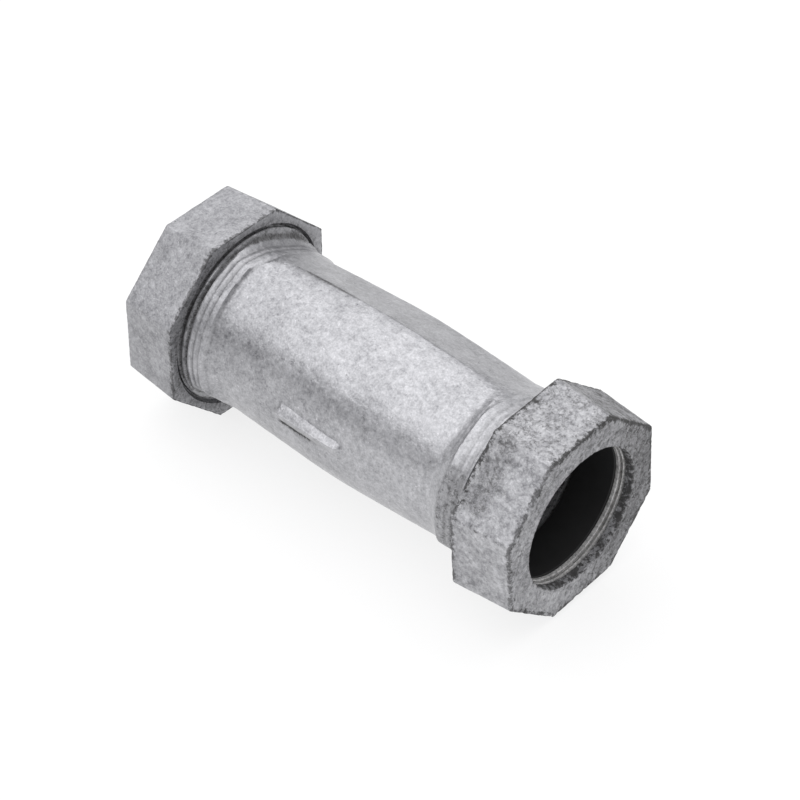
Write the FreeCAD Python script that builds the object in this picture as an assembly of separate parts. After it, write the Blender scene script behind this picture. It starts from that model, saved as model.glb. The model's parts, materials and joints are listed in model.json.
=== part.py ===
import FreeCAD, Part
import math
import os

# Long compression coupling for plain-ended steel pipe, in millimetres.
# +X runs along the pipe axis to the front nut, +Z is up, and the origin is the middle of the coupling.
# Distances called "depth" are measured inwards from the outer face of a nut.
# The threads are plain: a cylinder at the crests outside, and one that clears it in the nut.

Vector = FreeCAD.Vector
AXIS = Vector(1, 0, 0)
UP = Vector(0, 0, 1)

# overall sizes
overall_length = 146.6          # outer face to outer face, nuts hand tight
pipe_diameter = 42.4            # outside diameter of the pipe that goes in
pipe_clearance = 0.6            # radial room round the pipe in every metal bore

# thread, the same on the casting and in the nuts
thread_depth = 1.2
thread_radial_clearance = 0.2
pilot_length = 1.0              # plain end of the casting, in front of its thread
pilot_clearance = 0.1           # how far the pilot lies under the bottom of the thread

# coupling casting
barrel_wall_middle = 5.2
barrel_wall_end = 3.7
barrel_bend = 9.0               # half the length of the curve where the two tapers meet
bell_clearance_radius = 2.6     # how much wider than the bore the bell starts
bell_taper = 1.4                # how much of that is lost at its inner end
bell_length = 10.2
bell_shoulder = 0.6
bell_mouth_chamfer = 1.1
bell_wall = 2.6                 # metal between the bell and the bottom of the thread
body_end_depth = 10.0           # the casting's end, inside the nut
collar_depth = 28.8             # where the flare reaches the thread's outside
flare_radius = 9.0

# two cast flats along the barrel
flat_direction = -29.7          # degrees from up, towards -Y
flat_chord_angle = 41.0         # how much of the round each flat takes away
flat_reach_depth = 20.3         # each flat runs through the collar and ends just inside the nut
flat_flare_radius = 4.5
crown_radius = 48.7             # the flats widen into a crowned face where they cross the collars
crown_end_rise = 0.5            # how far its crown lies above the flat at the collars
crown_middle_rise = 2.2         # and at the middle, where it clears the barrel
crown_span = 60.0

# cast rib on the side of the barrel
rib_rear = -15.5
rib_step = 4.0
rib_front = 9.5
rib_height = 2.1
rib_height_at_step = 1.65
rib_top_angle = 76.8            # degrees from up, towards -Y
rib_crest_angle = 83.5
rib_under_angle = 91.8
rib_root = 1.0                  # how deep it is rooted in the barrel

# octagonal nut
nut_sides = 8
nut_length = 20.0
nut_wall = 3.25                 # metal between the thread and a flat, at the nut's inner face
nut_draft = 4.6                 # degrees, each flat leans inwards to the outer face
nut_corner_radius = 1.0
nut_rim_radius = 0.4
nut_mouth_chamfer = 0.6
nut_entry_length = 1.5          # tapered recess at the inner face
nut_entry_clearance = 0.4       # radial room round the thread at its bottom
nut_entry_taper = 0.6
lip_depth = 3.0                 # plain bore at the mouth
nut_thread_depth = 8.5          # where the nut's thread ends inside
thread_relief_length = 2.0      # plain groove behind the nut's thread
thread_relief_depth = 0.2
front_nut_turn = 3.7            # degrees about +X, as the nuts happen to stand
rear_nut_turn = 0.0

# split clamping ring in the nut's cone
ring_depth = 3.35
ring_length = 1.6
ring_tooth_depth = 3.9          # where the sharp inner edge lies
ring_outer_wall = 1.6           # radial thickness at its outer face
ring_inner_recess = 1.1         # how far the bore falls away behind the tooth
ring_gap = 3.0
ring_gap_angle = 45.0           # degrees from up, towards -Y
cone_half_angle = 50.0
cone_clearance = 0.25
ring_bore_clearance = 0.65      # radial room round the pipe at the tooth

# thrust washer
washer_length = 1.3
washer_bore_clearance = 0.5
washer_edge_clearance = 0.8     # radial room in the nut's thread
washer_step_clearance = 0.3     # between the washer and the step behind the nut's cone

# rubber sealing ring
seal_bore_clearance = 0.4
seal_flange_clearance = 0.15    # between its flange and the casting's end
seal_bell_clearance = 0.05
seal_nose_gap = 0.5             # short of the bottom of the bell
seal_edge_round = 0.5

# for the modelling itself
overrun = 1.0                   # how far a cutter passes the faces that it cuts
flat_tolerance = 1e-4

# worked out from the sizes above
half_length = overall_length / 2
pipe_radius = pipe_diameter / 2
bore_radius = pipe_radius + pipe_clearance
barrel_middle_radius = bore_radius + barrel_wall_middle
barrel_end_radius = bore_radius + barrel_wall_end
bell_mouth_radius = bore_radius + bell_clearance_radius
bell_inner_radius = bell_mouth_radius - bell_taper
thread_root_radius = bell_mouth_radius + bell_wall
thread_crest_radius = thread_root_radius + thread_depth
nut_minor_radius = thread_root_radius + thread_radial_clearance
nut_major_radius = thread_crest_radius + thread_radial_clearance
nut_inner_flat = nut_major_radius + nut_wall
nut_outer_flat = nut_inner_flat - nut_length * math.tan(math.radians(nut_draft))
washer_depth = ring_depth + ring_length
washer_radius = nut_minor_radius - washer_edge_clearance
seal_depth = washer_depth + washer_length
body_end = half_length - body_end_depth
collar = half_length - collar_depth
flat_reach = half_length - flat_reach_depth
flat_share = math.cos(math.radians(flat_chord_angle / 2))
flat_middle = barrel_middle_radius * flat_share
flat_end = barrel_end_radius * flat_share
thread_end = body_end - pilot_length
collar_rise = thread_crest_radius - barrel_end_radius
taper_end = collar - math.sqrt(collar_rise * (2 * flare_radius - collar_rise))
nut_inner_face = half_length - nut_length


def revolve(points):
    """Solid of revolution about X from (x, radius) points."""
    corners = [Vector(x, 0, radius) for x, radius in points]
    face = Part.Face(Part.makePolygon(corners + corners[:1]))
    return face.revolve(Vector(0, 0, 0), AXIS, 360)


def from_depth(points):
    """The same, from (depth, radius) points at the front nut."""
    return revolve([(half_length - depth, radius) for depth, radius in points])


def turned(shape, degrees, axis=AXIS):
    """A copy turned about an axis through the origin."""
    copy = shape.copy()
    copy.rotate(Vector(0, 0, 0), axis, degrees)
    return copy


def at_rear(shape):
    """A front piece carried to the rear end."""
    return turned(shape, 180, UP)


def polar(x, radius, degrees):
    """Point at a radius and an angle from up, towards -Y."""
    angle = math.radians(degrees)
    return Vector(x, -radius * math.sin(angle), radius * math.cos(angle))


def single(shape):
    """The one solid that a boolean result holds."""
    if len(shape.Solids) != 1:
        raise RuntimeError("expected one solid, got %d" % len(shape.Solids))
    return shape.Solids[0]


def flare_foot(radius, reach, flare):
    """Where a flare that ends at x = reach leaves a surface at this radius."""
    rise = thread_crest_radius - radius
    return reach - math.sqrt(rise * (2 * flare - rise))


def flare_arc(radius, reach, flare, side):
    """Arc of the concave flare up to the thread's outside, at the front (side 1) or the rear (side -1)."""
    foot = flare_foot(radius, reach, flare)
    turn = math.acos(1 - (thread_crest_radius - radius) / flare)
    ends = []
    for angle in (0, turn / 2, turn):
        x = foot + flare * math.sin(angle)
        ends.append(Vector(side * x, 0, radius + flare * (1 - math.cos(angle))))
    return Part.Arc(*ends[::side]).toShape()


def barrel_outline(middle_radius, end_radius, reach, flare):
    """Edges along the top of the barrel or of a flat, from the rear to the front."""
    foot = flare_foot(end_radius, reach, flare)
    fall = (middle_radius - end_radius) / taper_end * barrel_bend
    rear = Vector(-barrel_bend, 0, middle_radius - fall)
    front = Vector(barrel_bend, 0, middle_radius - fall)
    edges = [
        flare_arc(end_radius, reach, flare, -1),
        Part.makeLine(Vector(-taper_end, 0, end_radius), rear),
        Part.Arc(rear, Vector(0, 0, middle_radius - fall / 2), front).toShape(),
        Part.makeLine(front, Vector(taper_end, 0, end_radius)),
        flare_arc(end_radius, reach, flare, 1),
    ]
    if foot > taper_end:
        edges.insert(1, Part.makeLine(Vector(-foot, 0, end_radius), Vector(-taper_end, 0, end_radius)))
        edges.insert(5, Part.makeLine(Vector(taper_end, 0, end_radius), Vector(foot, 0, end_radius)))
    return edges


def closed_face(edges, corners):
    """Face bounded by edges and by straight lines through the corners after them."""
    path = [edges[-1].Vertexes[-1].Point] + corners + [edges[0].Vertexes[0].Point]
    lines = [Part.makeLine(first, second) for first, second in zip(path, path[1:])]
    return Part.Face(Part.Wire(Part.__sortEdges__(edges + lines)))


def barrel():
    """Round barrel between its two collars, solid inside."""
    outline = barrel_outline(barrel_middle_radius, barrel_end_radius, collar, flare_radius)
    face = closed_face(outline, [Vector(collar, 0, 0), Vector(-collar, 0, 0)])
    return face.revolve(Vector(0, 0, 0), AXIS, 360)


def cutter_face(middle_rise, end_rise):
    """What is cut away above a flat, with the flat raised by this much at its middle and its ends."""
    ends = (flat_reach, flat_flare_radius)
    outline = barrel_outline(flat_middle + middle_rise, flat_end + end_rise, *ends)
    above = thread_crest_radius + thread_depth
    return closed_face(outline, [Vector(flat_reach, 0, above), Vector(-flat_reach, 0, above)])


def flat_cutter():
    """Block that leaves one cast flat, which tapers with the barrel and cuts through the collars."""
    face = cutter_face(0, 0)
    face.translate(Vector(0, -thread_crest_radius, 0))
    return face.extrude(Vector(0, 2 * thread_crest_radius, 0))


def crown_cutter():
    """Sector of a ring that leaves the crowned part of the same flat at both collars."""
    face = cutter_face(crown_middle_rise, crown_end_rise)
    pivot = Vector(0, 0, flat_end + crown_end_rise - crown_radius)
    face.rotate(pivot, AXIS, -crown_span / 2)
    return face.revolve(pivot, AXIS, crown_span)


def barrel_radius(x):
    """Radius of the tapered barrel."""
    share = abs(x) / taper_end
    return barrel_middle_radius + (barrel_end_radius - barrel_middle_radius) * share


def rib_section(x, height):
    """Section of the cast rib: a long upper flank, a crest and a short underside."""
    surface = barrel_radius(x)
    points = [
        polar(x, surface - rib_root, rib_top_angle),
        polar(x, surface, rib_top_angle),
        polar(x, surface + height, rib_crest_angle),
        polar(x, surface, rib_under_angle),
        polar(x, surface - rib_root, rib_under_angle),
    ]
    return Part.makePolygon(points + points[:1])


def rib():
    """Rib that is blunt at the rear and runs out into the barrel towards the front."""
    sections = [
        rib_section(rib_rear, rib_height),
        rib_section(rib_step, rib_height_at_step),
        rib_section(rib_front, 0),
    ]
    return Part.makeLoft(sections, True, True)


def body_bore():
    """Through bore with a tapered bell at the front end."""
    mouth = body_end_depth
    bell_end = mouth + bell_length
    return from_depth([
        (mouth - overrun, 0),
        (mouth - overrun, bell_mouth_radius + bell_mouth_chamfer),
        (mouth, bell_mouth_radius + bell_mouth_chamfer),
        (mouth + bell_mouth_chamfer, bell_mouth_radius),
        (bell_end, bell_inner_radius),
        (bell_end + bell_shoulder, bore_radius),
        (half_length + overrun, bore_radius),
        (half_length + overrun, 0),
    ])


def threaded_end():
    """The casting's front end: its thread, and a plain pilot in front of it."""
    pilot_radius = thread_root_radius - pilot_clearance
    return revolve([
        (collar, 0),
        (collar, thread_crest_radius),
        (thread_end - thread_depth, thread_crest_radius),
        (thread_end, pilot_radius),
        (body_end, pilot_radius),
        (body_end, 0),
    ])


def coupling_body():
    """The casting: barrel, male threads, flats, rib and bells."""
    body = barrel().fuse(threaded_end()).fuse(at_rear(threaded_end()))
    for direction in (flat_direction, flat_direction + 180):
        body = body.cut(turned(flat_cutter(), direction)).cut(turned(crown_cutter(), direction))
    return single(body.fuse(rib()).cut(body_bore()).cut(at_rear(body_bore())))


def octagon(x, flat_distance, turn):
    """Octagon across the axis with its flats at this distance, one of them on top."""
    corner = flat_distance / math.cos(math.pi / nut_sides)
    step = 360 / nut_sides
    points = [polar(x, corner, turn + step * (k + 0.5)) for k in range(nut_sides)]
    return Part.makePolygon(points + points[:1])


def nut_blank(turn):
    """Drafted octagon with rounded corners and rims."""
    ends = [octagon(nut_inner_face, nut_inner_flat, turn), octagon(half_length, nut_outer_flat, turn)]
    blank = Part.makeLoft(ends, True, True)
    corners = [edge for edge in blank.Edges if edge.BoundBox.XLength > nut_length / 2]
    blank = blank.makeFillet(nut_corner_radius, corners)
    rims = [edge for edge in blank.Edges if edge.BoundBox.XLength < flat_tolerance]
    return blank.makeFillet(nut_rim_radius, rims)


def nut_hollow():
    """Mouth, lip bore, cone, washer room, thread relief, thread and entry."""
    cone_end = washer_depth - washer_step_clearance
    relief = nut_thread_depth - thread_relief_length
    relief_radius = nut_major_radius + thread_relief_depth
    entry_radius = thread_crest_radius + nut_entry_clearance
    return from_depth([
        (-overrun, 0),
        (-overrun, bore_radius + nut_mouth_chamfer),
        (0, bore_radius + nut_mouth_chamfer),
        (nut_mouth_chamfer, bore_radius),
        (lip_depth, bore_radius),
        (lip_depth, cone_radius(lip_depth)),
        (cone_end, cone_radius(cone_end)),
        (cone_end, nut_minor_radius),
        (relief, nut_minor_radius),
        (relief, relief_radius),
        (nut_thread_depth, relief_radius),
        (nut_thread_depth, nut_major_radius),
        (nut_length - nut_entry_length, nut_major_radius),
        (nut_length - nut_entry_length, entry_radius),
        (nut_length, entry_radius + nut_entry_taper),
        (nut_length + overrun, entry_radius + nut_entry_taper),
        (nut_length + overrun, 0),
    ])


def ring_radius(depth):
    """Outside of the clamping ring."""
    front_radius = pipe_radius + ring_bore_clearance + ring_outer_wall
    return front_radius + (depth - ring_depth) * math.tan(math.radians(cone_half_angle))


def cone_radius(depth):
    """The nut's cone, clear of the clamping ring all over."""
    return ring_radius(depth) + cone_clearance / math.cos(math.radians(cone_half_angle))


def nut(turn):
    """One compression nut at the front end."""
    return single(nut_blank(turn).cut(nut_hollow()))


def clamping_ring():
    """Split ring with one sharp inner tooth, seated in the nut's cone."""
    tooth = pipe_radius + ring_bore_clearance
    back = ring_depth + ring_length
    full = from_depth([
        (ring_depth, tooth + ring_outer_wall / 2),
        (ring_tooth_depth, tooth),
        (back, tooth + ring_inner_recess),
        (back, ring_radius(back)),
        (ring_depth, ring_radius(ring_depth)),
    ])
    corner = Vector(half_length - back - overrun, -ring_gap / 2, 0)
    slot = Part.makeBox(ring_length + 2 * overrun, ring_gap, ring_radius(back) + overrun, corner)
    return single(full.cut(turned(slot, ring_gap_angle)))


def thrust_washer():
    """Flat washer between the clamping ring and the rubber."""
    bore = pipe_radius + washer_bore_clearance
    return from_depth([
        (washer_depth, bore),
        (seal_depth, bore),
        (seal_depth, washer_radius),
        (washer_depth, washer_radius),
    ])


def sealing_ring():
    """Rubber ring: a flange under the washer and a tapered nose in the casting's bell."""
    bore = pipe_radius + seal_bore_clearance
    flange_end = body_end_depth - seal_flange_clearance
    bell_start = body_end_depth + bell_mouth_chamfer
    nose_end = body_end_depth + bell_length - seal_nose_gap
    slope = bell_taper / (bell_length - bell_mouth_chamfer)
    nose_radius = bell_mouth_radius - seal_bell_clearance - slope * (nose_end - bell_start)
    return from_depth([
        (seal_depth, bore + seal_edge_round),
        (seal_depth, washer_radius - seal_edge_round),
        (seal_depth + seal_edge_round, washer_radius),
        (flange_end, washer_radius),
        (flange_end, bell_mouth_radius - seal_bell_clearance + bell_mouth_chamfer),
        (bell_start, bell_mouth_radius - seal_bell_clearance),
        (nose_end, nose_radius),
        (nose_end, bore),
        (seal_depth + seal_edge_round, bore),
    ])


def save(name, shape):
    """Write one node."""
    shape.exportStep("parts/" + name + ".step")
    print("%-22s %9.1f mm3  valid %s" % (name, shape.Volume, shape.isValid()))


os.makedirs("parts", exist_ok=True)
save("coupling_body", coupling_body())
for end, turn, place in (("front", front_nut_turn, Part.Shape.copy), ("rear", rear_nut_turn, at_rear)):
    save(end + "_nut", place(nut(turn)))
    save(end + "_clamping_ring", place(clamping_ring()))
    save(end + "_thrust_washer", place(thrust_washer()))
    save(end + "_sealing_ring", place(sealing_ring()))
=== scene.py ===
import json
import math

import bpy
from mathutils import Matrix, Vector, noise


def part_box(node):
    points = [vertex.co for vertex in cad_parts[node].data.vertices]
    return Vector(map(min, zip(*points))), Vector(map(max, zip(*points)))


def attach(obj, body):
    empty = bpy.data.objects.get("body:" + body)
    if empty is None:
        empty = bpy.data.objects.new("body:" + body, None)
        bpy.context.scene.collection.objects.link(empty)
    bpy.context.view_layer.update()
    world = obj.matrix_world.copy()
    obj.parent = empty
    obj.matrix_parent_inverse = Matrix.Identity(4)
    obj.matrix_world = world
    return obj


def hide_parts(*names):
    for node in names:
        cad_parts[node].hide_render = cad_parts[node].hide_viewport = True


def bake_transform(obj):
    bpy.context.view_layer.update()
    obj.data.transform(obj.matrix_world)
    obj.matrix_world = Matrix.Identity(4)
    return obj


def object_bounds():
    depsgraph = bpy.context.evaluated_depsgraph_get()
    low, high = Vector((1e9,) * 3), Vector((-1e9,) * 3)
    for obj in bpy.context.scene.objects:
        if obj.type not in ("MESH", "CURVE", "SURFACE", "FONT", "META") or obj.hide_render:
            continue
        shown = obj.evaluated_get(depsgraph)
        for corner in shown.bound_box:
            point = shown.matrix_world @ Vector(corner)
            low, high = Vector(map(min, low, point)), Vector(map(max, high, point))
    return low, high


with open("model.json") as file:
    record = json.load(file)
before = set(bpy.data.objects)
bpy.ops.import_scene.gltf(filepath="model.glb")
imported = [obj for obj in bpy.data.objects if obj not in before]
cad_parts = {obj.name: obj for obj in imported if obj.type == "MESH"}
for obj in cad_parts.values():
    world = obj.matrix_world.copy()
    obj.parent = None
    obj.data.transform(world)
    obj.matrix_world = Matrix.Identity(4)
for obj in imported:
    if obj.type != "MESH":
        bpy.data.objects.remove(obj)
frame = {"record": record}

# Long compression coupling: a galvanised casting, two octagonal nuts, and the rings inside them.
# Settings are in millimetres and degrees, and meshes are written in metres.
# An angle round the pipe starts at +Z and grows towards -Y.

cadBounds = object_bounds()
mm = 0.001
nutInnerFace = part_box("front_nut")[0].x / mm
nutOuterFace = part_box("front_nut")[1].x / mm
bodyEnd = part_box("coupling_body")[1].x / mm
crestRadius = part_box("coupling_body")[1].z / mm
mounts = {mount["name"]: mount for mount in frame["record"]["mounts"]}
boreRadius = mounts["body_bore"]["dims"]["r_mm"]
print("frame loaded, nut faces at", round(nutInnerFace, 2), round(nutOuterFace, 2))


class Flow:
    # one socket of a node tree, so that a sum of values can be written as a sum

    def __init__(self, tree, socket):
        self.tree = tree
        self.socket = socket

    @staticmethod
    def pick(sockets, key):
        if isinstance(key, int):
            return sockets[key]
        return next(socket for socket in sockets
                    if socket.enabled and key in (socket.name, socket.identifier))

    @staticmethod
    def make(tree, kind, settings=None, values=None, output=0):
        node = tree.nodes.new(kind)
        for key, value in (settings or {}).items():
            setattr(node, key, value)
        for key, value in (values or {}).items():
            socket = Flow.pick(node.inputs, key)
            if isinstance(value, Flow):
                tree.links.new(value.socket, socket)
            else:
                socket.default_value = value
        return Flow(tree, Flow.pick(node.outputs, output)) if len(node.outputs) else None

    def math(self, operation, first, second=None):
        values = {0: first} if second is None else {0: first, 1: second}
        return Flow.make(self.tree, "ShaderNodeMath", {"operation": operation}, values)

    def __add__(self, other):
        return self.math("ADD", self, other)

    def __radd__(self, other):
        return self.math("ADD", other, self)

    def __sub__(self, other):
        return self.math("SUBTRACT", self, other)

    def __rsub__(self, other):
        return self.math("SUBTRACT", other, self)

    def __mul__(self, other):
        return self.math("MULTIPLY", self, other)

    def __rmul__(self, other):
        return self.math("MULTIPLY", other, self)

    def __truediv__(self, other):
        return self.math("DIVIDE", self, other)

    def __rtruediv__(self, other):
        return self.math("DIVIDE", other, self)

    def __abs__(self):
        return self.math("ABSOLUTE", self)

    def lower(self, other):
        return self.math("MINIMUM", self, other)

    def higher(self, other):
        return self.math("MAXIMUM", self, other)

    def rise(self, low, high):      # 0 below low, 1 above high, smooth between
        values = {"Value": self, "From Min": low, "From Max": high}
        return Flow.make(self.tree, "ShaderNodeMapRange", {"interpolation_type": "SMOOTHSTEP"}, values)

    def parts(self):
        node = Flow.make(self.tree, "ShaderNodeSeparateXYZ", None, {0: self}).socket.node
        return [Flow(self.tree, socket) for socket in node.outputs]

    def vector(self, operation, values):
        return Flow.make(self.tree, "ShaderNodeVectorMath", {"operation": operation}, {0: self, **values})

    def scaled(self, factor):
        return self.vector("SCALE", {"Scale": factor})

    def plus(self, other):
        return self.vector("ADD", {1: other})

    def mixed(self, first, second):     # two colours, this value is the share of the second
        values = {"Factor": self, "A": first, "B": second}
        return Flow.make(self.tree, "ShaderNodeMix", {"data_type": "RGBA"}, values, "Result")

    def noise(self, scale, detail=2.0, roughness=0.5, output=0, curl=0.0):
        values = {"Vector": self, "Scale": scale, "Detail": detail, "Roughness": roughness,
                  "Distortion": curl}
        return Flow.make(self.tree, "ShaderNodeTexNoise", None, values, output)

    def cells(self, scale):
        return Flow.make(self.tree, "ShaderNodeTexVoronoi", None, {"Vector": self, "Scale": scale}, "Color")


# meshes of revolution

def columns(step, extras=()):
    angles = {round(k * step, 3) for k in range(round(360 / step))}
    return sorted(angles | {round(angle % 360, 3) for angle in extras})


def between(first, last, steps):
    return [first + (last - first) * k / steps for k in range(steps + 1)]


def smooth(value, low, high):
    share = min(max((value - low) / (high - low), 0), 1)
    return share * share * (3 - 2 * share)


def stretch(value, rise, fall):
    # 1 between the two ramps, each given by its first and last value
    return smooth(value, *rise) * (1 - smooth(value, *fall))


def turned(name, rows, angles, shape, slit=False):
    # rows of points round the pipe, outside from rear to front and back inside, joined to a closed skin
    spots = [[shape(row, angle) for angle in angles] for row in rows]
    points = []
    for line in spots:
        for spot, angle in zip(line, angles):
            turn = math.radians(angle)
            points.append((spot[0] * mm, -spot[1] * math.sin(turn) * mm, spot[1] * math.cos(turn) * mm))
    around = len(angles)
    faces = []
    for i in range(len(rows)):
        low, high = i * around, (i + 1) % len(rows) * around
        for j in range(around - 1 if slit else around):
            k = (j + 1) % around
            faces.append((low + j, low + k, high + k, high + j))
    if slit:
        faces.append([i * around for i in range(len(rows))])
        faces.append([i * around + around - 1 for i in reversed(range(len(rows)))])
    mesh = bpy.data.meshes.new(name)
    mesh.from_pydata(points, [], faces)
    for place, label in enumerate(("skin", "threaded", "soot", "rim")):
        layer = mesh.attributes.new(label, "FLOAT", "POINT")
        layer.data.foreach_set("value", [spot[2 + place] for line in spots for spot in line])
    piece = bpy.data.objects.new(name, mesh)
    bpy.context.scene.collection.objects.link(piece)
    return piece


def finished(piece, sharpAngle):
    piece.data.shade_smooth()
    piece.data.set_sharp_from_angle(angle=math.radians(sharpAngle))


def atRear(piece, name):
    # a copy at the rear end, turned half a turn about +Z
    mesh = piece.data.copy()
    mesh.transform(Matrix.Rotation(math.pi, 4, "Z"))
    copy = bpy.data.objects.new(name, mesh)
    bpy.context.scene.collection.objects.link(copy)
    return copy


# cast skin and threads: one Geometry Nodes tree for the casting and both nuts

threads = {
    "Thread Start": 46.1,
    "Thread Pitch": 2.309,
    "Thread Depth": 1.2,
    "Open Depth": 0.16,         # share of the depth that the zinc leaves open near the collar
    "Flat Depth": 0.16,         # how deep the thread marks the flats where they cross it
    "Full Depth From": 52.2,    # as far as the nut reaches when it is tight
    "Clearing Run": 2.6,        # length over which the zinc thins out before that
    "Zinc Size": 3.0,           # size of the uneven places in the zinc
}
pieceSettings = ["Crest Radius", "Crest Share", "Root Share", "Lump Size", "Lump Height", "Grain Size",
                 "Grain Height", "Rim Wear", "Rim Grain"]


def skinTree():
    tree = bpy.data.node_groups.new("castSkin", "GeometryNodeTree")
    tree.interface.new_socket("Geometry", in_out="OUTPUT", socket_type="NodeSocketGeometry")
    tree.interface.new_socket("Geometry", in_out="INPUT", socket_type="NodeSocketGeometry")
    for label in list(threads) + pieceSettings:
        tree.interface.new_socket(label, in_out="INPUT", socket_type="NodeSocketFloat")
    tree.interface.new_socket("Material", in_out="INPUT", socket_type="NodeSocketMaterial")
    given = {socket.name: Flow(tree, socket) for socket in tree.nodes.new("NodeGroupInput").outputs}

    def make(*args):
        return Flow.make(tree, *args)

    def stored(label):
        return make("GeometryNodeInputNamedAttribute", {"data_type": "FLOAT"}, {"Name": label}, "Attribute")

    place = make("GeometryNodeInputPosition").scaled(1 / mm)
    x, y, z = place.parts()
    along = abs(x)
    radius = place.math("SQRT", y * y + z * z)
    angle = place.math("ARCTAN2", 0 - y, z)
    side = place.math("SIGN", x)

    # a right-hand helix: the crest line moves one pitch along in one turn
    phase = (along - given["Thread Start"]) / given["Thread Pitch"] - side * angle / (2 * math.pi)
    aside = place.math("PINGPONG", phase, 0.5)
    started = along.rise(given["Thread Start"] - 0.2, given["Thread Start"] + 0.9)
    hollow = aside.rise(given["Crest Share"], given["Root Share"]) * started
    cleared = along.rise(given["Full Depth From"] - given["Clearing Run"], given["Full Depth From"])
    choked = given["Open Depth"] * (0.45 + 1.1 * place.noise(1 / given["Zinc Size"], 2.0))
    share = choked + (1 - choked) * cleared
    threaded = stored("threaded")
    cut = given["Thread Depth"] * hollow * share
    marked = radius - given["Flat Depth"] * hollow
    newRadius = radius * (1 - threaded) + marked.lower(given["Crest Radius"] - cut) * threaded
    # painted shade in the thread grooves, stronger where the thread is cut clean; stored as hollow
    dark = hollow * threaded * (0.3 + 0.7 * cleared)
    scale = newRadius / radius
    moved = make("ShaderNodeCombineXYZ", None, {"X": x, "Y": y * scale, "Z": z * scale})

    # lumps of casting and zinc, which only ever lie under the plain surface
    lumps = place.noise(1 / given["Lump Size"], 1.5) * given["Lump Height"]
    grain = place.noise(1 / given["Grain Size"], 2.0) * given["Grain Height"]
    chips = place.noise(1 / given["Rim Grain"], 2.5, 0.6).rise(0.42, 0.72)
    depth = stored("skin") * (lumps + grain) + stored("rim") * chips * given["Rim Wear"]
    normal = make("GeometryNodeInputNormal")
    target = moved.plus(normal.scaled(0 - depth)).scaled(mm)

    mesh = make("GeometryNodeStoreNamedAttribute", {"data_type": "FLOAT", "domain": "POINT"},
                {"Geometry": given["Geometry"], "Name": "hollow", "Value": dark})
    mesh = make("GeometryNodeSetPosition", None, {"Geometry": mesh, "Position": target})
    mesh = make("GeometryNodeRealizeInstances", None, {"Geometry": mesh})
    mesh = make("GeometryNodeSetMaterial", None, {"Geometry": mesh, "Material": given["Material"]})
    end = tree.nodes.new("NodeGroupOutput")
    tree.links.new(mesh.socket, end.inputs["Geometry"])
    return tree


def cast(piece, tree, values, material):
    # run the tree on a plain piece and keep the result as its mesh
    modifier = piece.modifiers.new("castSkin", "NODES")
    modifier.node_group = tree
    values = {**threads, **values, "Material": material}
    for item in tree.interface.items_tree:
        if item.in_out == "INPUT" and item.name in values:
            modifier[item.identifier] = values[item.name]
    graph = bpy.context.evaluated_depsgraph_get()
    mesh = bpy.data.meshes.new_from_object(piece.evaluated_get(graph), preserve_all_data_layers=True,
                                           depsgraph=graph)
    piece.modifiers.remove(modifier)
    piece.data = mesh


# materials

def newMaterial(name):
    material = bpy.data.materials.new(name)
    material.use_nodes = True
    tree = material.node_tree
    tree.nodes.clear()

    def make(kind, settings=None, values=None, output=0):
        return Flow.make(tree, kind, settings, values, output)

    place = make("ShaderNodeTexCoord", None, None, "Object").scaled(1 / mm)
    return material, tree, make, place


def stored(make, label):
    return make("ShaderNodeAttribute", {"attribute_name": label}, None, "Fac")


def connect(make, tree, colour, metallic, roughness, height, bump):
    normal = make("ShaderNodeBump", None, {"Height": height, "Strength": 1.0, "Distance": bump * mm},
                  "Normal")
    shader = make("ShaderNodeBsdfPrincipled", None,
                  {"Base Color": colour, "Metallic": metallic, "Roughness": roughness, "Normal": normal})
    make("ShaderNodeOutputMaterial", None, {"Surface": shader})


castingZinc = {
    "light": (0.74, 0.74, 0.765, 1),
    "dark": (0.20, 0.20, 0.212, 1),
    "tone": 0.365,
    "lean": 0.0013,             # painted light: brighter towards the front, for every millimetre
    "spangleSize": 2.2,
    "spangle": 0.12,
    "mottleSize": 12.0,
    "mottle": 0.22,
    "blotchSize": 1.5,
    "blotch": 0.32,
    "grainSize": 0.6,
    "grain": 0.40,
    "roughness": 0.34,
    "metallic": 0.86,
    "stainAndShadeColour": (0.028, 0.027, 0.026, 1),
    "scuffs": 0.0,
    "bump": 0.10,
    "fleckSize": 0.9,
    "pitSize": 1.0,
    "pitShift": (31.7, 5.2, 11.9),
    "raggedSize": 1.3,
    "patchSize": 5.0,
    "patchShift": (4.1, 17.3, 8.8),
    "strokeSize": 3.2,
}
frontZinc = dict(castingZinc, tone=0.35, lean=0.0, spangleSize=1.6, mottleSize=7.0, mottle=0.42,
                 blotch=0.58, roughness=0.46, metallic=0.74, scuffs=0.9, bump=0.16)
rearZinc = dict(frontZinc, tone=0.262, mottle=0.22, blotch=0.32, grain=0.36, scuffs=0.3)


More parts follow.
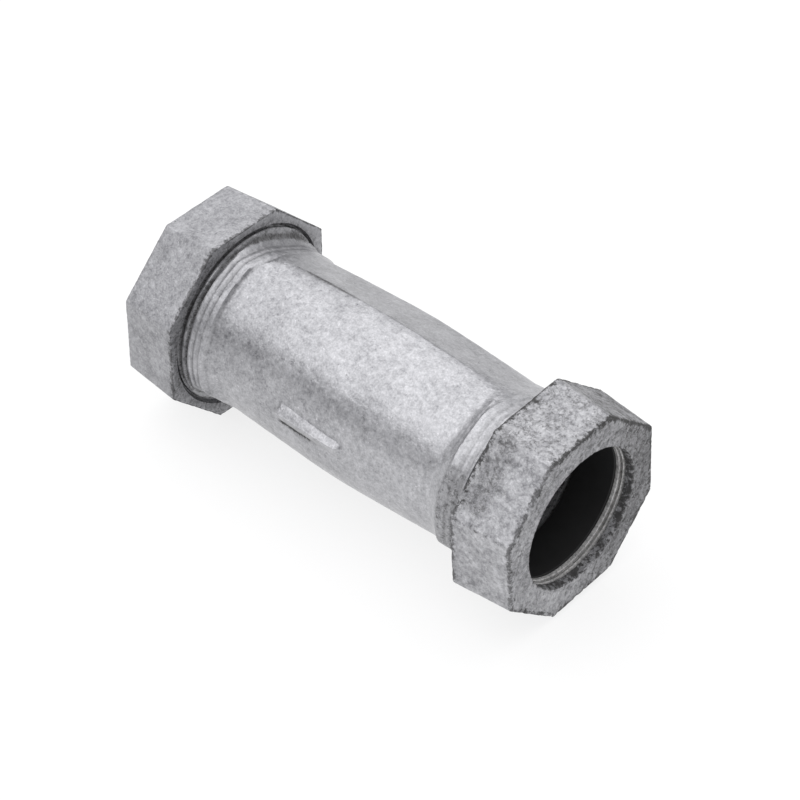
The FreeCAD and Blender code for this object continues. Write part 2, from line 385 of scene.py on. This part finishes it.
def galvanised(name, look):
    material, tree, make, place = newMaterial(name)
    hollow, soot, rim, skin = (stored(make, label) for label in ("hollow", "soot", "rim", "skin"))

    # zinc crystals: cells with crooked borders, each with its own shade
    crooked = place.plus(place.noise(1 / look["spangleSize"], 2.0, 0.5, "Color").scaled(1.6))
    crystal = crooked.cells(1 / look["spangleSize"]).parts()[0]
    grain = place.noise(1 / look["grainSize"], 3.0, 0.65)
    blotch = place.noise(1 / look["blotchSize"], 2.5, 0.6)
    mottle = place.noise(1 / look["mottleSize"], 3.0, 0.55)
    tone = look["tone"] + look["spangle"] * (crystal - 0.5) + 2 * look["grain"] * (grain - 0.5)
    tone = tone + 2 * look["blotch"] * (blotch - 0.5) + 2 * look["mottle"] * (mottle - 0.5)
    # painted light: the tone rises towards the front
    tone = tone + look["lean"] * place.parts()[0]

    # bright flecks, and small dark pits with ragged outlines
    fleck = place.noise(1 / look["fleckSize"], 2.0, 0.55).rise(0.66, 0.78)
    pit = place.plus(look["pitShift"]).noise(1 / look["pitSize"], 2.5, 0.65).rise(0.70, 0.78)

    # dirt and painted shade in the thread, dirt in the mouth, darkening along worn rims (painted shade
    # under the rib), painted shade in creases and on some nut facets, and rubbed patches
    ragged = place.noise(1 / look["raggedSize"], 4.0, 0.7)
    patch = place.plus(look["patchShift"]).noise(1 / look["patchSize"], 3.5, 0.62)
    edge = (rim + ragged * 2.2 + patch * 1.2 - 2.25).rise(0.05, 0.5)
    scuff = patch.rise(0.58, 0.70) * ragged.rise(0.38, 0.6) * look["scuffs"]
    stroke = 1 - abs(place.noise(1 / look["strokeSize"], 2.0, 0.6, 0, 1.6) - 0.5) * 16
    stroke = stroke.higher(0.0) * patch.rise(0.40, 0.55)
    knock = (stroke * 0.7 + ragged.rise(0.50, 0.64) * 0.8).lower(1.0) * soot.rise(0.04, 0.3)
    # hollow is painted shade in the thread grooves; the soot value holds dirt and painted shade; edge holds
    # worn rims and the painted shade under the rib
    stainAndShade = soot * 0.5 + knock * 0.55 + hollow * 0.6 + edge * 0.75 + scuff * 0.4 + pit * 0.6
    stainAndShade = stainAndShade.lower(1.0)
    tone = (tone + fleck * 0.34).lower(1.0).higher(0.0)
    colour = (stainAndShade * 0.92).mixed(tone.mixed(look["dark"], look["light"]), look["stainAndShadeColour"])
    metallic = (look["metallic"] - stainAndShade * 0.5 - (1 - skin) * 0.5).higher(0.0)
    rough = (look["roughness"] + (blotch - 0.5) * 0.3 + stainAndShade * 0.25 - fleck * 0.12).higher(0.18)
    height = grain * 0.6 + blotch * 0.9 + crystal * 0.1 + mottle * 0.5 - pit * 0.9 - scuff * 0.4
    connect(make, tree, colour, metallic, rough, height, look["bump"])
    return material


plating = {
    "light": (0.85, 0.84, 0.83, 1),
    "dark": (0.10, 0.10, 0.10, 1),
    "dirt": (0.03, 0.03, 0.03, 1),
    "tone": 0.62,
    "streakSize": 0.8,
    "streak": 1.6,
    "patchSize": 4.0,
    "patch": 0.9,
    "roughness": 0.4,
    "metallic": 0.35,
    "bump": 0.05,
}


def dullSteel(name, look):
    material, tree, make, place = newMaterial(name)
    soot = stored(make, "soot")
    streak = place.noise(1 / look["streakSize"], 3.0, 0.6)
    patch = place.noise(1 / look["patchSize"], 2.0, 0.5)
    tone = look["tone"] + look["streak"] * (streak - 0.5) + look["patch"] * (patch - 0.5)
    tone = tone.lower(1.0).higher(0.0)
    colour = soot.mixed(tone.mixed(look["dark"], look["light"]), look["dirt"])
    metallic = look["metallic"] - soot * 0.3
    connect(make, tree, colour, metallic, look["roughness"] + streak * 0.2, streak, look["bump"])
    return material


sealRubber = {
    "bloomed": (0.018, 0.018, 0.019, 1),
    "dark": (0.004, 0.004, 0.004, 1),
    "fineSize": 0.35,
    "bloomSize": 6.0,
    "roughness": 0.55,
    "bump": 0.03,
}


def mouldedRubber(name, look):
    material, tree, make, place = newMaterial(name)
    fine = place.noise(1 / look["fineSize"], 3.0, 0.6)
    bloom = place.noise(1 / look["bloomSize"], 2.0, 0.5)
    colour = (bloom * 0.6 + fine * 0.3).mixed(look["dark"], look["bloomed"])
    connect(make, tree, colour, 0.0, look["roughness"] + fine * 0.2, fine, look["bump"])
    return material


castingMaterial = galvanised("galvanisedCasting", castingZinc)
frontMaterial = galvanised("galvanisedFrontNut", frontZinc)
rearMaterial = galvanised("galvanisedRearNut", rearZinc)
steelMaterial = dullSteel("zincPlatedSteel", plating)
rubberMaterial = mouldedRubber("sealRubber", sealRubber)
castSkin = skinTree()
print("materials and cast skin ready")


# coupling body

casting = {
    "middleRadius": 27.0,
    "endRadius": 25.5,
    "bend": 9.0,
    "collar": 44.5,
    "taperEnd": 38.07,
    "flareRadius": 9.0,
    "flareNick": 0.32,          # thin groove where the flare meets the collar
    "threadEnd": 61.1,
    "pilotStart": 62.3,
    "pilotRadius": 26.9,
    "bell": [(bodyEnd, 25.5), (62.2, 24.4), (53.1, 23.0), (52.5, boreRadius)],
    "flatAngle": -29.7,
    "flatHalf": 20.5,           # half the angle that a flat takes up on the barrel
    "flatBlend": 0.2,
    "crownRadius": 48.7,        # the flats widen into a crowned face at the collars
    "crownRise": (2.2, 0.5),
    "crownBlend": 0.6,
    "flatReach": 53.0,          # the flats cut through the collars and end inside the nuts
    "flatFlare": 4.5,
    "ribRear": -15.5,
    "ribFront": 9.5,
    "ribHeight": 2.1,
    "ribTopRear": 76.8,
    "ribTopFront": 80.5,
    "ribCrest": 83.5,
    "ribUnder": 91.8,
    "ribShadeEnd": (-7, 0),      # the painted shade under the rib fades over this stretch of x
    "dirtAngles": ((45, 60), (100, 125)),   # where dirt on the front collar comes in and fades
    "dirtStart": (42, 45),
    "creaseShadeAngle": 350.6,         # a painted shade line, as in a crease, beside the front flat's edge, towards the rear
    "creaseShadeWidth": 1.3,
    "creaseShadeReach": ((-35, -31), (-18, -12)),
    "rows": (52, 14, 60),       # along half the barrel, the flare and the thread
    "flareRows": 38,            # the flare's closer rows start here
    "bellRows": 3,
    "boreRows": 5,
    "step": 1.6,                # degrees between two columns where nothing needs more
    "flatColumns": (-0.8, -0.4, 0, 0.4, 0.8),
    "collarColumns": (40, 46, 6),           # first angle, last angle and number of steps
    "ribColumns": (76.8, 93.3, 33),
    "creaseShadeColumns": (348.4, 352.8, 10),
    "sharpAngle": 40,
    "skin": {"Crest Radius": crestRadius, "Crest Share": 0.119, "Root Share": 0.4026,
             "Lump Size": 7.0, "Lump Height": 0.16, "Grain Size": 1.6, "Grain Height": 0.14,
             "Rim Wear": 0.35, "Rim Grain": 1.5},
}


def outline(along, middle, end, reach, flare):
    # two tapers with a soft bend in the middle, and a concave flare up to the thread's outside
    taperEnd = casting["taperEnd"]
    climb = crestRadius - end
    foot = reach - math.sqrt(climb * (2 * flare - climb))
    fall = (middle - end) / taperEnd * casting["bend"]
    if along >= reach:
        return crestRadius
    if along > foot:
        return end + flare - math.sqrt(flare ** 2 - (along - foot) ** 2)
    if along > taperEnd:
        return end
    if along < casting["bend"]:
        return middle - fall / 2 * (1 + (along / casting["bend"]) ** 2)
    return middle + (end - middle) * along / taperEnd


def ribHeight(x, angle):
    span = (x - casting["ribRear"]) / (casting["ribFront"] - casting["ribRear"])
    if not -0.06 < span < 1:
        return 0
    top = casting["ribTopRear"] + (casting["ribTopFront"] - casting["ribTopRear"]) * max(span, 0)
    flank = (angle - top) / (casting["ribCrest"] - top)
    under = (casting["ribUnder"] - angle) / (casting["ribUnder"] - casting["ribCrest"])
    height = casting["ribHeight"] * (1 - 0.2 * span) * stretch(span, (-0.05, 0.02), (0.86, 1.0))
    return height * max(min(flank, under, 1), 0)


def softLower(first, second, blend):
    share = min(max(0.5 + 0.5 * (second - first) / blend, 0), 1)
    return second + (first - second) * share - blend * share * (1 - share)


def bodyShape(row, angle):
    x, radius, kind = row
    if kind == "bore":
        return x, radius, 0.3, 0, 1, 0
    if kind == "end":
        return x, radius, 0.2, 0, 0.5, 0
    along = abs(x)
    share = math.cos(math.radians(casting["flatHalf"]))
    middle, end = casting["middleRadius"], casting["endRadius"]
    if kind == "barrel":
        radius = outline(along, middle, end, casting["collar"], casting["flareRadius"])
    flat = outline(along, middle * share, end * share, casting["flatReach"], casting["flatFlare"])
    middleRise, endRise = casting["crownRise"]
    crown = outline(along, middle * share + middleRise, end * share + endRise, casting["flatReach"],
                    casting["flatFlare"])
    pivot = casting["crownRadius"] - end * share - endRise
    for direction in (casting["flatAngle"], casting["flatAngle"] + 180):
        off = math.radians((angle - direction + 180) % 360 - 180)
        if abs(off) < 1:
            radius = softLower(radius, flat / math.cos(off), casting["flatBlend"])
            lean = math.sqrt((crown + pivot) ** 2 - (pivot * math.sin(off)) ** 2)
            radius = softLower(radius, lean - pivot * math.cos(off), casting["crownBlend"])
    dirty = stretch(angle, *casting["dirtAngles"]) * smooth(x, *casting["dirtStart"])
    if kind == "thread":
        # painted shade on the thread where it goes in under the nut, least near the top; the collar's dirt
        # reaches the thread too
        shadeUnderNut = 1 - smooth(nutInnerFace - along, 0.8, 3.6)
        soot = max(0.4 * dirty, shadeUnderNut * (0.2 + 0.25 * smooth(angle % 320, 0, 40)))
        return x, radius, 0.55, 1, soot, 0
    # painted shade line beside the front flat's edge, as a crease would cast
    creaseShade = math.exp(-((angle - casting["creaseShadeAngle"]) / casting["creaseShadeWidth"]) ** 2)
    creaseShade *= stretch(x, *casting["creaseShadeReach"])
    full = smooth(radius, flat + 1, flat + 2)
    nick = casting["flareNick"] * full * math.exp(-((along - casting["collar"] + 0.8) / 0.4) ** 2)
    radius = min(radius, crestRadius) - nick + ribHeight(x, angle)
    # painted shade along the rib's underside, passed on as darkening and as rim wear
    ribShadeLine = 1 - smooth(abs(angle - casting["ribUnder"]), 0.5, 3.0)
    ribShadeLine *= stretch(x, (casting["ribRear"] - 1, casting["ribRear"]), casting["ribShadeEnd"])
    # painted shade in the flare nick, along the crease and under the rib, with the collar's dirt
    soot = max(0.2 * nick / casting["flareNick"], 0.4 * dirty, 1.5 * creaseShade, 0.8 * ribShadeLine)
    return x, radius, 1, 0, soot, ribShadeLine


def bodyRows():
    straight, flare, thread = casting["rows"]
    level = between(0, casting["flareRows"], straight)[1:]
    level += between(casting["flareRows"], casting["collar"], flare)[1:]
    half = [(x, 0, "barrel") for x in level]
    level = between(casting["collar"] + 0.3, casting["threadEnd"], thread)
    half += [(x, crestRadius, "thread") for x in level]
    climb = between(0, 1, 4)[1:]
    chamfer = casting["pilotStart"] - casting["threadEnd"]
    drop = crestRadius - casting["pilotRadius"]
    half += [(casting["threadEnd"] + chamfer * s, crestRadius - drop * s, "thread") for s in climb]
    half += [(x, casting["pilotRadius"], "end") for x in between(casting["pilotStart"], bodyEnd, 3)[1:]]
    inside, bell, bore = casting["bell"], casting["bellRows"], casting["boreRows"]
    wall = [(bodyEnd, casting["pilotRadius"] - 0.5, "end")]
    for (x, radius), (nextX, nextRadius) in zip(inside, inside[1:]):
        wall += [(x + (nextX - x) * s, radius + (nextRadius - radius) * s, "bore")
                 for s in between(0, 1, bell)[:bell]]
    wall += [(x, boreRadius, "bore") for x in between(inside[-1][0], 0, bore)[:bore]]
    rearHalf, rearWall = ([(-x, radius, kind) for x, radius, kind in reversed(rows)]
                          for rows in (half, wall))
    return rearHalf + [(0, 0, "barrel")] + half + wall + [(0, boreRadius, "bore")] + rearWall


def bodyColumns():
    # closer columns at the edges of both flats, at the rib and at the painted crease shade
    aside = [casting["flatHalf"] + off for off in casting["flatColumns"]]
    aside += between(*casting["collarColumns"])
    edges = [casting["flatAngle"] + half + side * off
             for half in (0, 180) for side in (-1, 1) for off in aside]
    return columns(casting["step"],
                   edges + between(*casting["ribColumns"]) + between(*casting["creaseShadeColumns"]))


couplingBody = turned("couplingBody", bodyRows(), bodyColumns(), bodyShape)
cast(couplingBody, castSkin, casting["skin"], castingMaterial)
finished(couplingBody, casting["sharpAngle"])
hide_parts("coupling_body")
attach(couplingBody, "coupling")
print("coupling body", len(couplingBody.data.polygons), "faces")


# nuts

nut = {
    "sides": 8,
    "innerFlat": 31.65,
    "draft": 4.6,
    "cornerRadius": 1.0,
    "rim": 0.4,
    "mouth": 22.4,
    "lipDepth": 3.0,
    "coneStart": 23.42,
    "coneEnd": (4.65, 25.39),
    "roomRadius": 27.2,
    "reliefDepth": 6.5,
    "reliefRadius": 28.6,
    "threadDepth": 8.5,
    "majorRadius": 28.4,
    "entryDepth": 18.5,
    "entryRadius": 28.6,
    "entryMouth": 29.2,
    "frontTurn": 3.7,
    "cornerWear": (0.18, 0.3, 0.7),         # of the rear nut, the front nut and its most worn corner
    "wornAngles": ((55, 65), (100, 110)),
    "outerWear": 0.4,           # of the rear nut's outer rim, against the inner one
    "knocks": 0.42,             # dirt on the front nut's scuffed facet
    "knockAngles": ((8, 20), (60, 70)),
    "knockEnd": (59, 65),
    "topShade": 0.27,            # painted shade on its top facet
    "topAngles": (3, 20, 26),   # its middle, and how far from there the shade starts to fade and is gone
    "farShade": 0.75,            # painted shade on the facets beyond that
    "farAngles": ((270, 285), (336, 341)),
    "faceDarkening": (0.26, 0.75),   # darker all over the outer face, and darker still round one side
    "faceAngles": (262, 40, 100),           # the same for that side
    "backDirtAndShade": (0.04, 0.38, 0.25),         # dirt and painted shade on the inner face: all over, round one side, and near the thread
    "flankRows": 26,
    "faceRows": 9,
    "threadRows": 40,
    "flatColumns": (0, 19.5, 13),           # first angle, last angle and number of steps
    "cornerColumns": [20.6, 21.3, 21.7, 22.0, 22.25],
    "sharpAngle": 38,
    "skin": {"Crest Radius": 28.4, "Crest Share": 0.171, "Root Share": 0.4545,
             "Lump Size": 5.5, "Lump Height": 0.2, "Grain Size": 1.3, "Grain Height": 0.14,
             "Rim Wear": 0.24, "Rim Grain": 1.1},
}


def flatDistance(x):
    return nut["innerFlat"] - (x - nutInnerFace) * math.tan(math.radians(nut["draft"]))


def octagonRadius(x, angle):
    # drafted octagon with rounded corners; also how far the angle is from a corner
    step = 360 / nut["sides"]
    off = abs((angle + step / 2) % step - step / 2)
    away = math.radians(step / 2 - off)
    size = nut["cornerRadius"]
    centre = (flatDistance(x) - size) / math.cos(math.radians(step / 2))
    lean = math.radians(step / 2)
    if away < math.atan2(size * math.sin(lean), centre + size * math.cos(lean)):
        return centre * math.cos(away) + math.sqrt(size ** 2 - (centre * math.sin(away)) ** 2), away
    return flatDistance(x) / math.cos(math.radians(off)), away


def nutShape(turn, side):
    def shape(row, angle):
        x, radius, kind = row
        seen = side * angle % 360       # the angle once the rear nut is turned to its place
        if kind == "flank":             # radius is how far a rim is rounded away
            outer, away = octagonRadius(x, angle - turn)
            corner = 1 - smooth(away * outer, 0.3, 2.0)
            ends = 1 - smooth(min(x - nutInnerFace, nutOuterFace - x), 0.3, 2.8)
            rearWear, frontWear, mostWear = nut["cornerWear"]
            if side < 0:
                ends *= 1 if x < nutInnerFace + 5 else nut["outerWear"]
                return x, outer - radius, 1, 0, 0, max(corner * rearWear, ends)
            wear = frontWear + (mostWear - frontWear) * stretch(seen, *nut["wornAngles"])
            knocked = nut["knocks"] * stretch(seen, *nut["knockAngles"]) * (1 - smooth(x, *nut["knockEnd"]))
            # painted shade: the top facet and the far facets are darker; knocked is dirt on the scuffed
            # facet
            middle, full, none = nut["topAngles"]
            top = nut["topShade"] * (1 - smooth(abs((seen + 180 - middle) % 360 - 180), full, none))
            soot = max(knocked, top, nut["farShade"] * stretch(seen, *nut["farAngles"]))
            return x, outer - radius, 1, 0, soot, max(corner * wear, ends)
        if kind == "face":              # radius is a share of the way in from the rim to the hole
            outer = octagonRadius(x, angle - turn)[0] - nut["rim"]
            if x < nutInnerFace + 1:
                inner = nut["entryMouth"]
                # dirt and painted shade on the inner face, more round one side and near the thread
                least, aside, near = nut["backDirtAndShade"]
                soot = least + aside * smooth((seen + 90) % 360, 80, 130) + near * smooth(radius, 0.3, 0.9)
            else:
                inner = nut["mouth"]
                least, aside = nut["faceDarkening"]
                middle, full, none = nut["faceAngles"]
                soot = least + aside * (1 - smooth(abs(seen - middle), full, none))
            return x, outer + (inner - outer) * radius, 0.8, 0, soot, 0.95 * (1 - smooth(radius, 0, 0.34))
        if kind == "mouth":
            return x, radius, 0.25, 0, 0.42, 0.9
        return x, radius, 0, 1 if kind == "thread" else 0, 0.8, 0
    return shape


def nutRows():
    size = nut["rim"]
    arc = [math.radians(t) for t in between(0, 90, 4)]
    rows = [(nutInnerFace + size * (1 - math.cos(t)), size * (1 - math.sin(t)), "flank") for t in arc]
    level = between(nutInnerFace + size, nutOuterFace - size, nut["flankRows"])
    rows += [(x, 0, "flank") for x in level[1:-1]]
    rows += [(nutOuterFace - size * (1 - math.cos(t)), size * (1 - math.sin(t)), "flank")
             for t in reversed(arc)]
    rows += [(nutOuterFace, share, "face") for share in between(0, 1, nut["faceRows"])[1:]]
    lip = nut["mouth"] - boreRadius
    rows += [(nutOuterFace - lip * (1 - math.cos(t)), boreRadius + lip * (1 - math.sin(t)), "mouth")
             for t in arc[1:]]
    rows += [(nutOuterFace - depth, boreRadius, "mouth") for depth in between(lip, nut["lipDepth"], 4)[1:]]
    coneDepth, coneRadius = nut["coneEnd"]
    plain = [(nut["lipDepth"], nut["coneStart"]), (coneDepth, coneRadius), (coneDepth, nut["roomRadius"]),
             (nut["reliefDepth"], nut["roomRadius"]), (nut["reliefDepth"], nut["reliefRadius"]),
             (nut["threadDepth"], nut["reliefRadius"]), (nut["threadDepth"], nut["majorRadius"])]
    rows += [(nutOuterFace - depth, radius, "room") for depth, radius in plain]
    rows += [(nutOuterFace - depth, nut["majorRadius"], "thread")
             for depth in between(nut["threadDepth"] + 0.1, nut["entryDepth"] - 0.1, nut["threadRows"])]
    rows += [(nutOuterFace - nut["entryDepth"], nut["majorRadius"], "room")]
    rows += [(nutOuterFace - nut["entryDepth"], nut["entryRadius"], "room")]
    rows += [(nutInnerFace, share, "face") for share in reversed(between(0, 1, 4)[1:])]
    return rows


def nutColumns(turn):
    step = 360 / nut["sides"]
    across = between(*nut["flatColumns"]) + nut["cornerColumns"]
    offsets = across + [-off for off in across[1:]] + [step / 2]
    return columns(step, [turn + k * step + off for k in range(nut["sides"]) for off in offsets])


def makeNut(name, turn, side, material, node):
    piece = turned(name, nutRows(), nutColumns(turn), nutShape(turn, side))
    if side < 0:
        piece.data.transform(Matrix.Rotation(math.pi, 4, "Z"))
    cast(piece, castSkin, nut["skin"], material)
    finished(piece, nut["sharpAngle"])
    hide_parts(node)
    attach(piece, node)
    print(name, len(piece.data.polygons), "faces")


makeNut("frontNut", nut["frontTurn"], 1, frontMaterial, "front_nut")
makeNut("rearNut", 0.0, -1, rearMaterial, "rear_nut")


# rings inside the nuts

rings = {
    "slitAngle": 45.0,
    "slitWidth": 3.0,
    "slitRadius": 23.4,
    "clamping": [(3.35, 23.45), (3.35, 22.65), (3.62, 22.2), (3.9, 21.85), (4.2, 22.17), (4.95, 22.95),
                 (4.95, 25.36)],
    "toothDepth": 3.9,
    "toothRadius": 23,          # the tooth lies within this radius
    "burr": 0.16,
    "steps": 200,               # columns round the slit ring
    "wholeSteps": 160,          # and round the others
    "sharpAngle": 35,
    "washer": [(4.95, 26.2), (4.95, 21.9), (5.15, 21.7), (6.05, 21.7), (6.25, 21.9), (6.25, 26.2),
               (6.1, 26.4), (5.1, 26.4)],
    "squeezed": (6.25, 9.85),   # depths between which the rubber gives way to the rings
    "seal": [(6.25, 25.9), (6.25, 22.1), (6.75, 21.6), (12.0, 21.6), (19.3, 21.6), (19.7, 21.9),
             (19.7, 22.9), (11.1, 24.35), (9.85, 25.45), (9.85, 26.4), (6.75, 26.4)],
}


def finer(profile, steps):
    # points along a profile, which runs back along the inside and forward along the outside
    loop = [(nutOuterFace - depth, radius) for depth, radius in profile]
    rows = []
    for (x, radius), (nextX, nextRadius) in zip(loop, loop[1:] + loop[:1]):
        rows += [(x + (nextX - x) * s, radius + (nextRadius - radius) * s)
                 for s in between(0, 1, steps)[:steps]]
    return rows


def ringShape(row, angle):
    x, radius = row
    return x, radius, 0, 0, 0, 0


def toothShape(row, angle):
    # the sharp inner edge is burred, and never stands further in than it was cut
    x, radius = row
    turn = math.radians(angle)
    sharp = 1 - smooth(abs(nutOuterFace - x - rings["toothDepth"]), 0.2, 0.9)
    ragged = noise.noise(Vector((math.cos(turn) * 9, math.sin(turn) * 9, 3.1)))
    near = sharp if radius < rings["toothRadius"] else 0
    return x, radius + near * rings["burr"] * (0.5 + 0.5 * ragged), 0, 0, 0.35 * (1 - near), near


def ring(name, profile, steps, angles, shape, material, body, node, slit=False):
    piece = turned(name, finer(profile, steps), angles, shape, slit)
    piece.data.materials.append(material)
    pieces = [(piece, "front", 1), (atRear(piece, "rear" + name[5:]), "rear", -1)]
    for made, end, side in pieces:
        finished(made, rings["sharpAngle"])
        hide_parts(node.replace("front", end))
        if body == "coupling":
            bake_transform(made)
        else:
            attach(made, body.replace("front", end))
        print(made.name, len(made.data.polygons), "faces")


reach = math.degrees(math.asin(rings["slitWidth"] / 2 / rings["slitRadius"]))
slitColumns = between(rings["slitAngle"] + reach, rings["slitAngle"] + 360 - reach, rings["steps"])
ringColumns = between(0, 360, rings["wholeSteps"])[:-1]
ring("frontClampingRing", rings["clamping"], 3, slitColumns, toothShape, steelMaterial, "front_rings",
     "front_clamping_ring", True)
ring("frontThrustWasher", rings["washer"], 1, ringColumns, ringShape, steelMaterial, "front_rings",
     "front_thrust_washer")
ring("frontSealingRing", rings["seal"], 1, ringColumns, ringShape, rubberMaterial, "coupling",
     "front_sealing_ring")


# floor, light and camera

studio = {
    "floorSize": 8.0,
    "floorColour": (0.20, 0.20, 0.20, 1),
    "floorGlow": 0.78,
    "floorGrain": 40.0,
    "worldColour": (0.50, 0.50, 0.51, 1),
    "panelPlace": (-0.35, -0.05, 1.03),
    "panelTilt": 8.0,
    "panelSize": (2.5, 3.4),
    "panelPower": 32.5,
    "azimuth": 42.603,
    "elevation": 42.113,
    "roll": -0.103,
    "distance": 0.904,
    "lens": 143.67,
    "shift": (0.0204, -0.0041),
}


def makeFloor():
    half = studio["floorSize"] / 2
    low = cadBounds[0].z
    mesh = bpy.data.meshes.new("floor")
    mesh.from_pydata([(-half, -half, low), (half, -half, low), (half, half, low), (-half, half, low)], [],
                     [(0, 1, 2, 3)])
    floor = bpy.data.objects.new("floor", mesh)
    bpy.context.scene.collection.objects.link(floor)
    material, tree, make, place = newMaterial("paleFloor")
    soft = place.noise(1 / studio["floorGrain"], 2.0)
    colour = soft.mixed(studio["floorColour"], tuple(0.98 * c for c in studio["floorColour"][:3]) + (1,))
    connect(make, tree, colour, 0.0, 0.8, soft, 0.01)
    shader = tree.nodes["Principled BSDF"]
    shader.inputs["Emission Color"].default_value = (1, 1, 1, 1)
    shader.inputs["Emission Strength"].default_value = studio["floorGlow"]
    mesh.materials.append(material)


def makeLight():
    world = bpy.data.worlds.new("studio")
    bpy.context.scene.world = world
    world.use_nodes = True
    world.node_tree.nodes["Background"].inputs["Color"].default_value = studio["worldColour"]
    panel = bpy.data.lights.new("panel", "AREA")
    panel.shape = "RECTANGLE"
    panel.size, panel.size_y = studio["panelSize"]
    panel.energy = studio["panelPower"]
    lamp = bpy.data.objects.new("panel", panel)
    lamp.location = studio["panelPlace"]
    lamp.rotation_euler = (0, -math.radians(studio["panelTilt"]), 0)
    bpy.context.scene.collection.objects.link(lamp)


def makeCamera():
    azimuth, elevation = math.radians(studio["azimuth"]), math.radians(studio["elevation"])
    back = Vector((math.sin(azimuth) * math.cos(elevation), -math.cos(azimuth) * math.cos(elevation),
                   math.sin(elevation)))
    right = Vector((math.cos(azimuth), math.sin(azimuth), 0))
    turn = Matrix.Rotation(math.radians(studio["roll"]), 3, back)
    right = turn @ right
    up = back.cross(right)
    camera = bpy.data.objects.new("camera", bpy.data.cameras.new("camera"))
    axes = Matrix((right, up, back)).transposed()
    camera.matrix_world = Matrix.Translation(back * studio["distance"]) @ axes.to_4x4()
    camera.data.lens = studio["lens"]
    camera.data.shift_x, camera.data.shift_y = studio["shift"]
    bpy.context.scene.collection.objects.link(camera)
    bpy.context.scene.camera = camera


makeFloor()
makeLight()
makeCamera()
bpy.context.scene.view_settings.view_transform = "Standard"
print("studio ready")
